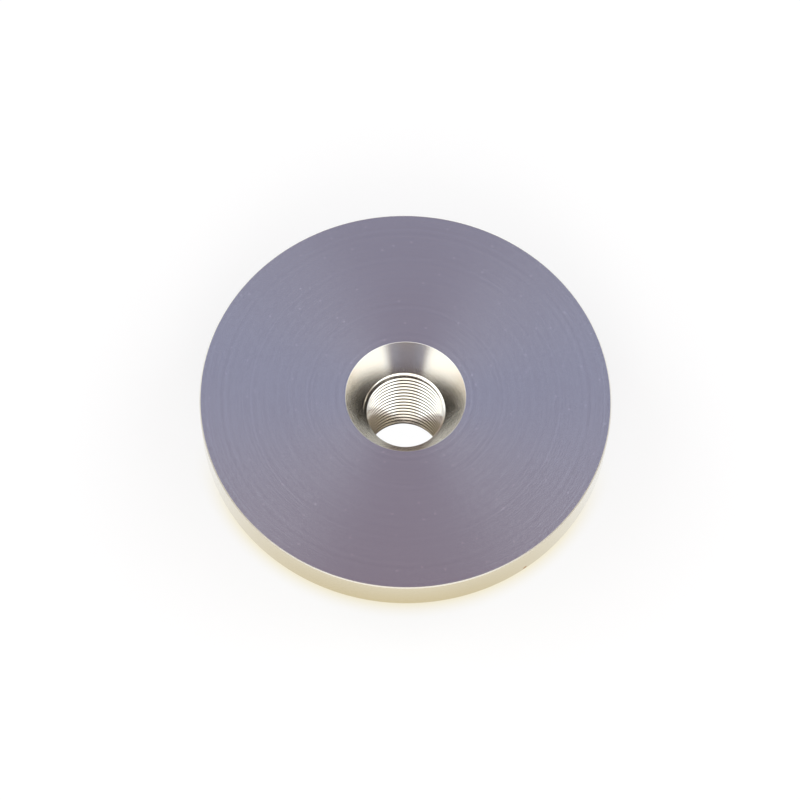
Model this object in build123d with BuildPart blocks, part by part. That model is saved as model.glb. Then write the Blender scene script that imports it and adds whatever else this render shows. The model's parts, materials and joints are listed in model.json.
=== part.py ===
from build123d import *

import os
from math import radians, tan

# A turned flange on a threaded hub, in one piece.
#
# A thick flat disc stands on a short round hub. One hole runs through both, along
# the axis. It opens in a wide countersink in the disc's front face, runs on at the
# minor diameter of a half-inch parallel pipe thread, and leaves the hub's end
# through a short lead-in chamfer.
#
# Sizes are in millimetres. The turning axis is Z and the hub's end face lies on
# Z = 0, so the part stands on its hub with the disc's front face up.

# ------------------------------------------------------------------ driving sizes

# Flange: the disc in front
flange_dia = 100.0
flange_thickness = 10.0
front_edge_break = 0.25     # 45 degree break between the front face and the rim
back_edge_break = 0.25      # 45 degree break between the rim and the back face

# Hub: the boss behind the disc
hub_dia = 36.0
hub_length = 28.0           # from the disc's back face to the hub's end face
hub_end_chamfer = 1.0       # 45 degree chamfer round the hub's end
hub_root_radius = 1.6       # left by the tool's nose where the hub meets the disc

# Bore: finished to the crests of a G 1/2 internal thread
bore_dia = 18.8
lead_in_chamfer = 1.4       # 45 degree chamfer that opens the bore at the hub's end
countersink_dia = 29.3      # mouth of the countersink in the front face
countersink_angle = 60.0    # included angle of the countersink

# ------------------------------------------------------------------ derived sizes

front_face_height = hub_length + flange_thickness
flange_radius = flange_dia / 2
hub_radius = hub_dia / 2
bore_radius = bore_dia / 2
lead_in_radius = bore_radius + lead_in_chamfer
countersink_radius = countersink_dia / 2
countersink_depth = (countersink_radius - bore_radius) / tan(radians(countersink_angle / 2))


def corner_at(radius, height):
    """The corner of the half section that lies at this radius and height."""
    return section.vertices().sort_by_distance((radius, height, 0))[0]


# ------------------------------------------------------------------ the turned part

with BuildPart() as threaded_flange:
    # The half section has the radius along X and the height along Z. Its outline
    # starts at the hub's end face, goes round the outside to the front face and
    # comes back down through the countersink and the bore.
    with BuildSketch(Plane.XZ) as section:
        with BuildLine():
            Polyline(
                (lead_in_radius, 0),
                (hub_radius, 0),
                (hub_radius, hub_length),
                (flange_radius, hub_length),
                (flange_radius, front_face_height),
                (countersink_radius, front_face_height),
                (bore_radius, front_face_height - countersink_depth),
                (bore_radius, lead_in_chamfer),
                close=True,
            )
        make_face()
        chamfer(corner_at(hub_radius, 0), hub_end_chamfer)
        fillet(corner_at(hub_radius, hub_length), hub_root_radius)
        chamfer(corner_at(flange_radius, hub_length), back_edge_break)
        chamfer(corner_at(flange_radius, front_face_height), front_edge_break)
    revolve(axis=Axis.Z)

threaded_flange.part.label = "threaded_flange"

os.makedirs("parts", exist_ok=True)
export_step(threaded_flange.part, "parts/threaded_flange.step")
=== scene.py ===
"""The finish of the turned flange: its real thread, its turned surfaces and a light tent.

Metres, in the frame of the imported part: the hub stands on Z = 0 and the turning axis is Z.
"""

import json
from math import cos, radians, sin, tan, tau

import bmesh
import bpy
import numpy as np
from mathutils import Matrix, Vector


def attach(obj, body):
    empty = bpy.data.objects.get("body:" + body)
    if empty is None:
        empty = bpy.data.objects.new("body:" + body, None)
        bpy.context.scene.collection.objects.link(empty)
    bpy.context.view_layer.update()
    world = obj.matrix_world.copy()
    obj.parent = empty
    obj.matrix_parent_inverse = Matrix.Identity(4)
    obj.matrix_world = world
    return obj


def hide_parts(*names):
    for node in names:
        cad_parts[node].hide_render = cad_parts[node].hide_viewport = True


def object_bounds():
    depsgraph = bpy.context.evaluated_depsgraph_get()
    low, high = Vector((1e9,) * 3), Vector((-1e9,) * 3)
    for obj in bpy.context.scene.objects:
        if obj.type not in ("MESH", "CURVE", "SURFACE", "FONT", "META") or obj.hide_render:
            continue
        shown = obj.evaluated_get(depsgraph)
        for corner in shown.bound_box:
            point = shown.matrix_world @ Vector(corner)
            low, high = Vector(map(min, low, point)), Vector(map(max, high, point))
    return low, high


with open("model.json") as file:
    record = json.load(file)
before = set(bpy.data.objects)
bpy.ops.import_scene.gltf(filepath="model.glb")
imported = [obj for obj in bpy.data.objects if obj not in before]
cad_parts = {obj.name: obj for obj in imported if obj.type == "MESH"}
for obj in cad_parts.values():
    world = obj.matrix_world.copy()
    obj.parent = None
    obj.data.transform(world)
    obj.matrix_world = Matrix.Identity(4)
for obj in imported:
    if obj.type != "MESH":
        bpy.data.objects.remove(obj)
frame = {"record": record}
cad_low, cad_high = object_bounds()

MM = 0.001
mounts = {mount["name"]: mount for mount in frame["record"]["mounts"]}

# ------------------------------------------------------------------ the turned body's sizes

# read from the frame
FACE_HEIGHT = cad_high.z
FLANGE_RADIUS = cad_high.x
BACK_HEIGHT = mounts["flange_back"]["pos_m"][2]
HUB_RADIUS = mounts["hub_spigot"]["dims"]["r_mm"] * MM
BORE_RADIUS = mounts["thread"]["dims"]["r_mm"] * MM
BORE_LENGTH = mounts["thread"]["dims"]["length_mm"] * MM

# edges and hollows, as they are turned
RIM_BREAK = 0.25 * MM
MOUTH_BREAK = 0.03 * MM
HUB_CHAMFER = 1.0 * MM
HUB_ROOT_RADIUS = 1.6 * MM
LEAD_IN = 1.4 * MM
CONE_SLOPE = tan(radians(60.0 / 2))

BORE_TOP = LEAD_IN + BORE_LENGTH
MOUTH_RADIUS = BORE_RADIUS + (FACE_HEIGHT - BORE_TOP) * CONE_SLOPE

# the thread: right-handed, 14 turns to the inch, cut to about three quarters of its full depth
PITCH = 25.4 / 14 * MM
FLANK_ANGLE = radians(60.0 / 2)
MAJOR_RADIUS = 10.2 * MM
ROOT_RADIUS = 0.12 * MM
CREST_HEIGHT = 26.64 * MM       # middle of one crest where it crosses the +X direction

# how finely the body is cut
SEGMENTS = 256
CREST_STEPS = 3
FLANK_STEPS = 3
ROOT_STEPS = 4
GUARD_WIDTH = 0.1 * MM          # of a narrow band of the countersink just above the thread
FILLET_STEPS = 10
SHARP_ANGLE = radians(20.0)
MERGE_DISTANCE = 0.0004 * MM
GROOVE_START = 0.02 * MM        # how far below the turned surface a face counts as cut by the tap

ANGLES = np.linspace(0.0, tau, SEGMENTS + 1)


# ------------------------------------------------------------------ the body's mesh

def ring(radius, height):
    """A ring of points round the axis. Radius and height may differ from point to point."""
    heights = np.broadcast_to(height, ANGLES.shape)
    return np.column_stack((radius * np.cos(ANGLES), radius * np.sin(ANGLES), heights))


def turned_radius(height):
    """The hole's radius before it is threaded: lead-in, bore and countersink."""
    cone = np.maximum(0.0, height - BORE_TOP) * CONE_SLOPE
    lead_in = np.maximum(0.0, LEAD_IN - height)
    return BORE_RADIUS + cone + lead_in


# A groove's section: a round root, then straight flanks down to the bore.
ROOT_HALF_WIDTH = ROOT_RADIUS * cos(FLANK_ANGLE)
FLANK_TOP_RADIUS = MAJOR_RADIUS - ROOT_RADIUS * (1 - sin(FLANK_ANGLE))
GROOVE_HALF_WIDTH = ROOT_HALF_WIDTH + (FLANK_TOP_RADIUS - BORE_RADIUS) * tan(FLANK_ANGLE)


def groove_radius(offset):
    """The radius of a groove's wall at an axial distance from the groove's middle."""
    offset = np.abs(offset)
    in_root = np.minimum(offset, ROOT_HALF_WIDTH)
    root = MAJOR_RADIUS - ROOT_RADIUS + np.sqrt(ROOT_RADIUS**2 - in_root**2)
    flank = FLANK_TOP_RADIUS - (offset - ROOT_HALF_WIDTH) / tan(FLANK_ANGLE)
    return np.where(offset < ROOT_HALF_WIDTH, root, flank)


def groove_offsets():
    """Axial places of one turn's rows, from the crest above a groove to the crest below."""
    root_end = tau / 4 - FLANK_ANGLE
    root = ROOT_RADIUS * np.sin(np.linspace(-root_end, root_end, ROOT_STEPS + 1))
    flank = np.linspace(GROOVE_HALF_WIDTH, ROOT_HALF_WIDTH, FLANK_STEPS, endpoint=False)
    crest = np.linspace(PITCH / 2, GROOVE_HALF_WIDTH, CREST_STEPS, endpoint=False)
    return np.concatenate((-crest, -flank, root, flank[::-1], crest[:0:-1]))


def thread_rings():
    """Rings that climb with the thread. Past its ends they lie on one another."""
    top = BORE_TOP + (MAJOR_RADIUS - BORE_RADIUS) / CONE_SLOPE
    bottom = LEAD_IN - (MAJOR_RADIUS - BORE_RADIUS)
    climb = PITCH * ANGLES / tau
    first_groove = CREST_HEIGHT + PITCH / 2
    first_turn = -int((top - first_groove) // PITCH) - 1
    last_turn = int((first_groove + PITCH - bottom) // PITCH) + 1
    rings = []
    for turn in range(first_turn, last_turn + 1):
        for offset in groove_offsets():
            height = np.clip(first_groove + climb - turn * PITCH - offset, bottom, top)
            from_groove = (height - first_groove - climb + PITCH / 2) % PITCH - PITCH / 2
            radius = np.maximum(turned_radius(height), groove_radius(from_groove))
            rings.append(ring(radius, height))
    return rings


def hub_root_rings():
    """The concave corner between the hub and the flange's back."""
    centre_radius = HUB_RADIUS + HUB_ROOT_RADIUS
    centre_height = BACK_HEIGHT - HUB_ROOT_RADIUS
    rings = []
    for angle in np.linspace(tau / 2, tau / 4, FILLET_STEPS + 1):
        radius = centre_radius + HUB_ROOT_RADIUS * cos(angle)
        rings.append(ring(radius, centre_height + HUB_ROOT_RADIUS * sin(angle)))
    return rings


def body_bands():
    """The outline in bands, each with its finish, from the lead-in round to the thread."""
    rim_low = BACK_HEIGHT + RIM_BREAK
    rim_high = FACE_HEIGHT - RIM_BREAK
    thread = thread_rings()
    guard_height = thread[0][0][2] + GUARD_WIDTH
    guard = ring(turned_radius(guard_height), guard_height)
    root = hub_root_rings()
    lead_in_mouth = ring(BORE_RADIUS + LEAD_IN, 0.0)
    hub_end_edge = ring(HUB_RADIUS - HUB_CHAMFER, 0.0)
    hub_foot = ring(HUB_RADIUS, HUB_CHAMFER)
    back_edge = ring(FLANGE_RADIUS - RIM_BREAK, BACK_HEIGHT)
    rim_foot = ring(FLANGE_RADIUS, rim_low)
    rim_top = ring(FLANGE_RADIUS, rim_high)
    face_edge = ring(FLANGE_RADIUS - RIM_BREAK, FACE_HEIGHT)
    mouth_edge = ring(MOUTH_RADIUS + MOUTH_BREAK, FACE_HEIGHT)
    mouth = ring(MOUTH_RADIUS - MOUTH_BREAK * CONE_SLOPE, FACE_HEIGHT - MOUTH_BREAK)
    return [
        ("edge", [thread[-1], lead_in_mouth]),
        ("back", [lead_in_mouth, hub_end_edge]),
        ("edge", [hub_end_edge, hub_foot]),
        ("hub", [hub_foot] + root),
        ("back", [root[-1], back_edge]),
        ("edge", [back_edge, rim_foot]),
        ("rim", [rim_foot, rim_top]),
        ("edge", [rim_top, face_edge]),
        ("face", [face_edge, mouth_edge]),
        ("edge", [mouth_edge, mouth]),
        ("cone", [mouth, guard, thread[0]]),
        ("thread", thread),
    ]


def threaded_finish(corners):
    """Which of three surfaces a face of the thread lies on: the groove, its crest or the cone."""
    x, y, z = np.mean(corners, axis=0)
    if np.hypot(x, y) > turned_radius(z) + GROOVE_START:
        return "thread"
    return "cone" if z > BORE_TOP else "crest"


def build_body(finishes):
    """One closed mesh for the whole part, with a finish for each band."""
    points, faces, slots = [], [], []
    names = list(finishes)
    count = 0
    for finish, rings in body_bands():
        points.extend(rings)
        for row in range(len(rings) - 1):
            for column in range(SEGMENTS):
                corner = (count + row) * (SEGMENTS + 1) + column
                below = corner + SEGMENTS + 1
                faces.append((corner, corner + 1, below + 1, below))
                if finish == "thread":
                    corners = [rings[row + down][column + along] for down in (0, 1) for along in (0, 1)]
                    slots.append(names.index(threaded_finish(corners)))
                else:
                    slots.append(names.index(finish))
        count += len(rings)
    mesh = bpy.data.meshes.new("turned_body")
    mesh.from_pydata(np.concatenate(points).tolist(), [], faces)
    for finish in names:
        mesh.materials.append(finishes[finish])
    mesh.polygons.foreach_set("material_index", slots)

    work = bmesh.new()
    work.from_mesh(mesh)
    bmesh.ops.remove_doubles(work, verts=work.verts, dist=MERGE_DISTANCE)
    bmesh.ops.dissolve_degenerate(work, edges=work.edges, dist=MERGE_DISTANCE)
    bmesh.ops.recalc_face_normals(work, faces=work.faces)
    for face in work.faces:
        face.smooth = True
    for edge in work.edges:
        one_finish = len({face.material_index for face in edge.link_faces}) == 1
        edge.smooth = one_finish and edge.calc_face_angle(0.0) < SHARP_ANGLE
    work.to_mesh(mesh)
    work.free()

    body = bpy.data.objects.new("turned_body", mesh)
    bpy.context.scene.collection.objects.link(body)
    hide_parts("threaded_flange")
    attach(body, "root")
    return body


# ------------------------------------------------------------------ nodes

class Graph:
    """A short way to write a shader's nodes."""

    def __init__(self, tree):
        self.tree = tree
        tree.nodes.clear()

    def add(self, kind, inputs=None, **settings):
        node = self.tree.nodes.new(kind)
        for key, value in settings.items():
            setattr(node, key, value)
        for key, value in (inputs or {}).items():
            if isinstance(value, bpy.types.NodeSocket):
                self.tree.links.new(value, node.inputs[key])
            else:
                node.inputs[key].default_value = value
        return node

    def math(self, operation, *values):
        inputs = dict(enumerate(values))
        return self.add("ShaderNodeMath", inputs, operation=operation).outputs[0]

    def vector(self, operation, *values):
        inputs = dict(enumerate(values))
        return self.add("ShaderNodeVectorMath", inputs, operation=operation)

    def ramp(self, value, low, high, to_low=0.0, to_high=1.0, smooth=False):
        inputs = {0: value, 1: low, 2: high, 3: to_low, 4: to_high}
        kind = "SMOOTHSTEP" if smooth else "LINEAR"
        return self.add("ShaderNodeMapRange", inputs, interpolation_type=kind).outputs[0]

    def mix(self, share, first, second):
        inputs = {0: share, 6: first, 7: second}
        return self.add("ShaderNodeMix", inputs, data_type="RGBA").outputs[2]

    def noise(self, scale, detail=2.0, **inputs):
        dimensions = "1D" if "W" in inputs else "3D"
        values = {"Scale": scale, "Detail": detail, **inputs}
        return self.add("ShaderNodeTexNoise", values, noise_dimensions=dimensions).outputs[0]


def colour(red, green, blue):
    return (red, green, blue, 1.0)


# ------------------------------------------------------------------ materials

def on_circle(radius, degrees, height):
    """A point at a distance from the axis. 0 degrees is +X, and 90 is +Y."""
    return (radius * cos(radians(degrees)), radius * sin(radians(degrees)), height)


# rings and finer lay follow the tool round the axis, grain and mottle don't
RING_WIDTH = 0.9 * MM
LAY_WIDTH = 0.4 * MM
GRAIN_SIZE = 0.6 * MM
MOTTLE_SIZE = 22.0 * MM
TRAVEL_PER_HEIGHT = 1.7
CONTRAST = (0.3, 0.7)           # part of a noise's range that is used
SHADE_CONTRAST = (1.15, 1.85)   # the same for three noises added up
LAY_ROUGHNESS = (0.93, 1.07)    # times the finish's roughness
GRAIN_ROUGHNESS = (-0.01, 0.01)     # added to it
ACROSS_THE_LAY = 0.25           # of a turn

# dust on the front face, two nicks at the countersink's mouth painted pale as painted glints, and a
# brown stain low on the rim; each spot is a centre, a radius and a colour
DUST_SPACING = 8.0 * MM
DUST_REACH = 0.045              # share of the spacing
DUST_COLOUR = colour(0.98, 0.98, 1.0)
DUST_STRENGTH = 0.5
NICK_SIZE = 0.22 * MM
NICK_GLINT_COLOUR = colour(0.98, 0.98, 0.98)
NICK_PLACES = (169.0, 180.0)    # degrees round the axis
NICKS = [
    (on_circle(MOUTH_RADIUS, degrees, FACE_HEIGHT), NICK_SIZE, NICK_GLINT_COLOUR)
    for degrees in NICK_PLACES
]
STAIN_PLACE = on_circle(FLANGE_RADIUS, 306.8, BACK_HEIGHT + 1.0 * MM)
STAIN_SIZE = 0.7 * MM
STAIN_COLOUR = colour(0.55, 0.34, 0.18)


def turned_metal(name, light, dark, roughness, anisotropy, mark_depth, dust=0.0, spots=()):
    """Metal as it leaves the lathe: fine rings round the axis, seen as streaked gloss."""
    material = bpy.data.materials.new(name)
    material.use_nodes = True
    graph = Graph(material.node_tree)
    place = graph.add("ShaderNodeTexCoord").outputs["Object"]
    axes = graph.add("ShaderNodeSeparateXYZ", {0: place})
    flat = graph.add("ShaderNodeCombineXYZ", {0: axes.outputs[0], 1: axes.outputs[1]})
    radius = graph.vector("LENGTH", flat.outputs[0]).outputs["Value"]
    # grows steadily along the tool's path, on faces, cones and cylinders alike
    travel = graph.math("MULTIPLY_ADD", axes.outputs[2], TRAVEL_PER_HEIGHT, radius)

    rings = graph.noise(1 / RING_WIDTH, 2.0, W=travel)
    lay = graph.noise(1 / LAY_WIDTH, 1.0, W=travel)
    grain = graph.noise(1 / GRAIN_SIZE, 2.0, Vector=place)
    mottle = graph.noise(1 / MOTTLE_SIZE, 1.0, Vector=place)
    shades = graph.math("ADD", graph.math("ADD", rings, mottle), grain)
    tint = graph.mix(graph.ramp(shades, *SHADE_CONTRAST), dark, light)
    if dust:
        cells = {"Vector": place, "Scale": 1 / DUST_SPACING}
        grains = graph.add("ShaderNodeTexVoronoi", cells, voronoi_dimensions="2D").outputs["Distance"]
        tint = graph.mix(graph.ramp(grains, DUST_REACH, 0.0, 0.0, dust), tint, DUST_COLOUR)
    for centre, reach, spot_colour in spots:
        from_spot = graph.vector("DISTANCE", place, centre).outputs["Value"]
        tint = graph.mix(graph.ramp(from_spot, reach, reach / 2), tint, spot_colour)
    smoother, rougher = (roughness * share for share in LAY_ROUGHNESS)
    streak = graph.ramp(lay, *CONTRAST, smoother, rougher)
    spread = graph.math("ADD", streak, graph.ramp(grain, *CONTRAST, *GRAIN_ROUGHNESS))

    bump = graph.add("ShaderNodeBump", {"Strength": 1.0, "Distance": mark_depth, "Height": lay})
    tangent = graph.add("ShaderNodeTangent", direction_type="RADIAL", axis="Z")
    shader = graph.add("ShaderNodeBsdfPrincipled", {
        "Base Color": tint,
        "Metallic": 1.0,
        "Roughness": spread,
        "Anisotropic": anisotropy,
        "Anisotropic Rotation": ACROSS_THE_LAY,
        "Tangent": tangent.outputs[0],
        "Normal": bump.outputs[0],
    })
    graph.add("ShaderNodeOutputMaterial", {"Surface": shader.outputs[0]})
    return material


SHALLOW, USUAL, DEEP = 0.0002 * MM, 0.0004 * MM, 0.0006 * MM    # depths of the tool's marks


def finishes():
    """The finish of each band: light and dark shade, roughness, anisotropy, depth of marks. The bands
    are one metal; some tints are painted light: a darker crest, paler edges, a warmer rim and a bluer
    face.
    """
    return {
        # the face's blue tint is partly the metal's own and partly a painted cool reflection; the dust
        # is real
        "face": turned_metal(
            "turned_face", colour(0.665, 0.695, 0.725), colour(0.635, 0.66, 0.69), 0.24, 0.85, USUAL,
            dust=DUST_STRENGTH, spots=NICKS),
        # the rim's warm cream tint is a painted warm reflection of the floor below it, on the same
        # metal as the face; the brown stain is real
        "rim": turned_metal(
            "turned_rim", colour(0.85, 0.83, 0.74), colour(0.82, 0.80, 0.71), 0.16, 0.6, USUAL,
            spots=[(STAIN_PLACE, STAIN_SIZE, STAIN_COLOUR)]),
        # the edges are the same metal painted paler than the rim, a painted highlight along the thin
        # edge lines
        "edge": turned_metal(
            "turned_edge", colour(0.93, 0.93, 0.88), colour(0.91, 0.90, 0.85), 0.32, 0.0, SHALLOW),
        "cone": turned_metal(
            "turned_cone", colour(0.80, 0.77, 0.72), colour(0.75, 0.72, 0.67), 0.19, 0.7, USUAL,
            spots=NICKS),
        "thread": turned_metal(
            "cut_thread", colour(0.80, 0.78, 0.72), colour(0.77, 0.75, 0.69), 0.12, 0.0, SHALLOW),
        # the crest is the same metal with its colour painted dark: painted shade standing in for the
        # shadowed floor the crests mirror
        "crest": turned_metal(
            "thread_crest_painted_dark", colour(0.42, 0.35, 0.26), colour(0.38, 0.32, 0.23), 0.20, 0.4, USUAL),
        "back": turned_metal(
            "turned_back", colour(0.62, 0.60, 0.60), colour(0.60, 0.58, 0.58), 0.30, 0.8, DEEP),
        "hub": turned_metal(
            "turned_hub", colour(0.67, 0.65, 0.63), colour(0.64, 0.62, 0.60), 0.24, 0.7, DEEP),
    }


# ------------------------------------------------------------------ floor

WHITE = colour(1.0, 1.0, 1.0)
BLACK = colour(0.0, 0.0, 0.0)
FLOOR_HALF = 6.0
FLOOR_SHADE = 0.3               # share of the floor's look that takes shadow
PAPER_SHADE = 0.76              # how pale that share is

# a painted warm glow on the floor, where the camera sees it just past the rim: painted light thrown off
# the rim
GLOW_CENTRE = (0.0, 12.95 * MM, 0.0)
GLOW_RADIUS = 52.2 * MM
GLOW_WIDTH = 4.5 * MM
GLOW_COLOUR = colour(0.94, 0.88, 0.70)
GLOW_STARTS, GLOW_FULL = 5.0 * MM, -25.0 * MM            # along Y, towards the camera

# painted warm bounce light on the floor that only the metal mirrors, a painted reflection strongest low
# on the front of the rim
BOUNCE_FULL, BOUNCE_ENDS = 61.0 * MM, 71.0 * MM          # from the axis
BOUNCE_STARTS, BOUNCE_FOREMOST = -8.0 * MM, -64.0 * MM   # along Y, towards the camera
BOUNCE_COLOUR = colour(0.66, 0.55, 0.32)


def build_floor():
    """A plain white floor with a faint shadow and a painted warm glow in front, white through the bore.
    """
    mesh = bpy.data.meshes.new("floor")
    corners = [(x * FLOOR_HALF, y * FLOOR_HALF, 0.0) for x, y in ((-1, -1), (1, -1), (1, 1), (-1, 1))]
    mesh.from_pydata(corners, [], [(0, 1, 2, 3)])
    floor = bpy.data.objects.new("floor", mesh)
    bpy.context.scene.collection.objects.link(floor)

    material = bpy.data.materials.new("white_floor")
    material.use_nodes = True
    graph = Graph(material.node_tree)
    place = graph.add("ShaderNodeTexCoord").outputs["Object"]
    from_axis = graph.vector("LENGTH", place).outputs["Value"]
    to_front = graph.add("ShaderNodeSeparateXYZ", {0: place}).outputs[1]
    front = graph.ramp(to_front, GLOW_STARTS, GLOW_FULL, smooth=True)

    # the painted glow the camera sees before the rim, and the painted warm bounce that the rim's metal
    # mirrors
    from_glow = graph.vector("DISTANCE", place, GLOW_CENTRE).outputs["Value"]
    past_rim = graph.math("SUBTRACT", from_glow, GLOW_RADIUS)
    outward = graph.math("POWER", graph.ramp(past_rim, 0.0, GLOW_WIDTH, 1.0, 0.0), 2.0)
    glow = graph.math("MULTIPLY", graph.ramp(past_rim, -GLOW_WIDTH, 0.0), outward)
    camera_colour = graph.mix(graph.math("MULTIPLY", glow, front), WHITE, GLOW_COLOUR)
    foremost = graph.ramp(to_front, BOUNCE_STARTS, BOUNCE_FOREMOST)
    near = graph.ramp(from_axis, BOUNCE_FULL, BOUNCE_ENDS, 1.0, 0.0)
    metal_colour = graph.mix(graph.math("MULTIPLY", near, foremost), WHITE, BOUNCE_COLOUR)

    # inside the hub's outline the camera sees the floor as painted light, pure white without the shade
    # the hub casts there, and the metal sees no emission there, only the paper in the hub's shade
    open_floor = graph.math("GREATER_THAN", from_axis, HUB_RADIUS)
    path = graph.add("ShaderNodeLightPath").outputs
    reflected = graph.math("MAXIMUM", path["Is Glossy Ray"], path["Is Transmission Ray"])
    lit_to_camera = graph.ramp(open_floor, 0.0, 1.0, 1.0, 1.0 - FLOOR_SHADE)
    lit_to_metal = graph.ramp(open_floor, 0.0, 1.0, 0.0, 1.0 - FLOOR_SHADE)
    share = graph.math("ADD",
                       graph.math("MULTIPLY", path["Is Camera Ray"], lit_to_camera),
                       graph.math("MULTIPLY", reflected, lit_to_metal))
    hue = graph.mix(path["Is Camera Ray"], metal_colour, camera_colour)
    shade = graph.mix(PAPER_SHADE, BLACK, hue)
    paper = graph.add("ShaderNodeBsdfDiffuse", {"Color": shade})
    lit = graph.add("ShaderNodeEmission", {"Color": hue, "Strength": 1.0})
    look = graph.add("ShaderNodeMixShader", {0: share, 1: paper.outputs[0], 2: lit.outputs[0]})
    graph.add("ShaderNodeOutputMaterial", {"Surface": look.outputs[0]})
    mesh.materials.append(material)


# ------------------------------------------------------------------ light

# The tent is laid out by a direction's X (aside) and Y (away from the camera). Each pair is
# where one part starts to turn into the next, and where it has done so.
BACK_TO_BACK_EDGE = (0.18, 0.42)
OVERHEAD_TO_BACK = (0.25, 0.5)
ROOF_TO_FRONT = (-0.23, -0.62)
SIDE_TO_SIDE_BACK = (0.05, 0.3)
ROOF_TO_SIDE = (0.18, 0.42)
ROOF_FLARE = 0.65               # how much wider the roof gets towards the back
PANELS_TO_HORIZON = (0.74, 0.94)
HORIZON_DROP = 0.06             # how much lower the horizon lies in front

OVERHEAD_COLOUR = colour(0.275, 0.13, 0.12)
BACK_COLOUR = colour(0.37, 0.39, 0.54)
BACK_EDGE_COLOUR = colour(0.52, 0.65, 0.95)
FRONT_COLOUR = colour(1.95, 1.88, 1.74)
SIDE_COLOUR = colour(2.40, 2.45, 2.45)
SIDE_BACK_COLOUR = colour(2.30, 2.50, 2.70)
HORIZON_COLOUR = colour(0.45, 0.37, 0.28)


def light_tent():
    """A tent with a dim roof, bright panels at the sides and front, and a dim, warm horizon."""
    world = bpy.data.worlds.new("light_tent")
    bpy.context.scene.world = world
    world.use_nodes = True
    graph = Graph(world.node_tree)
    heading = graph.add("ShaderNodeTexCoord").outputs["Generated"]
    axes = graph.add("ShaderNodeSeparateXYZ", {0: heading}).outputs
    aside = graph.math("ABSOLUTE", axes[0])
    away = axes[1]

    back = graph.mix(graph.ramp(aside, *BACK_TO_BACK_EDGE), BACK_COLOUR, BACK_EDGE_COLOUR)
    roof = graph.mix(graph.ramp(away, *OVERHEAD_TO_BACK), OVERHEAD_COLOUR, back)
    middle = graph.mix(graph.ramp(away, *ROOF_TO_FRONT), roof, FRONT_COLOUR)
    side = graph.mix(graph.ramp(away, *SIDE_TO_SIDE_BACK), SIDE_COLOUR, SIDE_BACK_COLOUR)
    past_roof = graph.math("MULTIPLY_ADD", graph.math("MAXIMUM", away, 0.0), -ROOF_FLARE, aside)
    panels = graph.mix(graph.ramp(past_roof, *ROOF_TO_SIDE, smooth=True), middle, side)

    flat = graph.add("ShaderNodeCombineXYZ", {0: axes[0], 1: axes[1]}).outputs[0]
    drop = graph.math("MULTIPLY", graph.math("MINIMUM", away, 0.0), HORIZON_DROP)
    from_top = graph.math("ADD", graph.vector("LENGTH", flat).outputs["Value"], drop)
    tent = graph.mix(graph.ramp(from_top, *PANELS_TO_HORIZON, smooth=True), panels, HORIZON_COLOUR)

    seen = graph.add("ShaderNodeLightPath").outputs["Is Camera Ray"]
    shown = graph.mix(seen, tent, WHITE)
    light = graph.add("ShaderNodeBackground", {"Color": shown, "Strength": 1.0})
    graph.add("ShaderNodeOutputWorld", {"Surface": light.outputs[0]})


SOFTBOX_DISTANCE = 0.9          # from the middle of the front face


def softbox(name, azimuth, elevation, size, power, tint):
    """A square lamp that lights the floor and that the metal doesn't mirror.

    Azimuth 0 is the camera's side, and 90 is the right.
    """
    lamp = bpy.data.lights.new(name, "AREA")
    lamp.shape = "SQUARE"
    lamp.size = size
    lamp.energy = power
    lamp.color = tint
    stand = bpy.data.objects.new(name, lamp)
    stand.visible_glossy = False
    target = Vector((0.0, 0.0, FACE_HEIGHT))
    around, up = radians(azimuth), radians(elevation)
    away = Vector((sin(around) * cos(up), -cos(around) * cos(up), sin(up)))
    stand.location = target + away * SOFTBOX_DISTANCE
    stand.rotation_euler = away.to_track_quat("Z", "Y").to_euler()
    bpy.context.scene.collection.objects.link(stand)


# ------------------------------------------------------------------ camera

CAMERA_ELEVATION = radians(64.849)
CAMERA_ROLL = radians(1.946)
CAMERA_DISTANCE = 702.0 * MM    # from the middle of the front face
CAMERA_LENS = 130.11
SENSOR_WIDTH = 36.0
CLIP_START, CLIP_END = 0.01, 50.0
FACE_CENTRE_PIXEL = (405.67, 396.07)
IMAGE_SIZE = 800


def build_camera():
    """The camera looks down on the front face, a little rolled."""
    data = bpy.data.cameras.new("camera")
    data.lens = CAMERA_LENS
    data.sensor_width = SENSOR_WIDTH
    data.clip_start = CLIP_START
    data.clip_end = CLIP_END
    data.shift_x = (IMAGE_SIZE / 2 - FACE_CENTRE_PIXEL[0]) / IMAGE_SIZE
    data.shift_y = (FACE_CENTRE_PIXEL[1] - IMAGE_SIZE / 2) / IMAGE_SIZE
    camera = bpy.data.objects.new("camera", data)
    bpy.context.scene.collection.objects.link(camera)
    back = Vector((0.0, -cos(CAMERA_ELEVATION), sin(CAMERA_ELEVATION)))
    level = Vector((1.0, 0.0, 0.0))
    upright = back.cross(level)
    right = cos(CAMERA_ROLL) * level + sin(CAMERA_ROLL) * upright
    upward = cos(CAMERA_ROLL) * upright - sin(CAMERA_ROLL) * level
    turn = Matrix((right, upward, back)).transposed().to_4x4()
    place = Vector((0.0, 0.0, FACE_HEIGHT)) + back * CAMERA_DISTANCE
    camera.matrix_world = Matrix.Translation(place) @ turn
    bpy.context.scene.camera = camera


# ------------------------------------------------------------------ the whole scene

build_camera()
build_body(finishes())
build_floor()
light_tent()
softbox("softbox_front", azimuth=0.0, elevation=42.0, size=0.35, power=2.2, tint=(1.0, 1.0, 1.0))
softbox("softbox_left", azimuth=-100.0, elevation=40.0, size=0.5, power=0.8, tint=(0.97, 0.99, 1.0))
softbox("softbox_right", azimuth=100.0, elevation=40.0, size=0.5, power=0.8, tint=(1.0, 1.0, 0.98))

bpy.context.scene.view_settings.view_transform = "Standard"
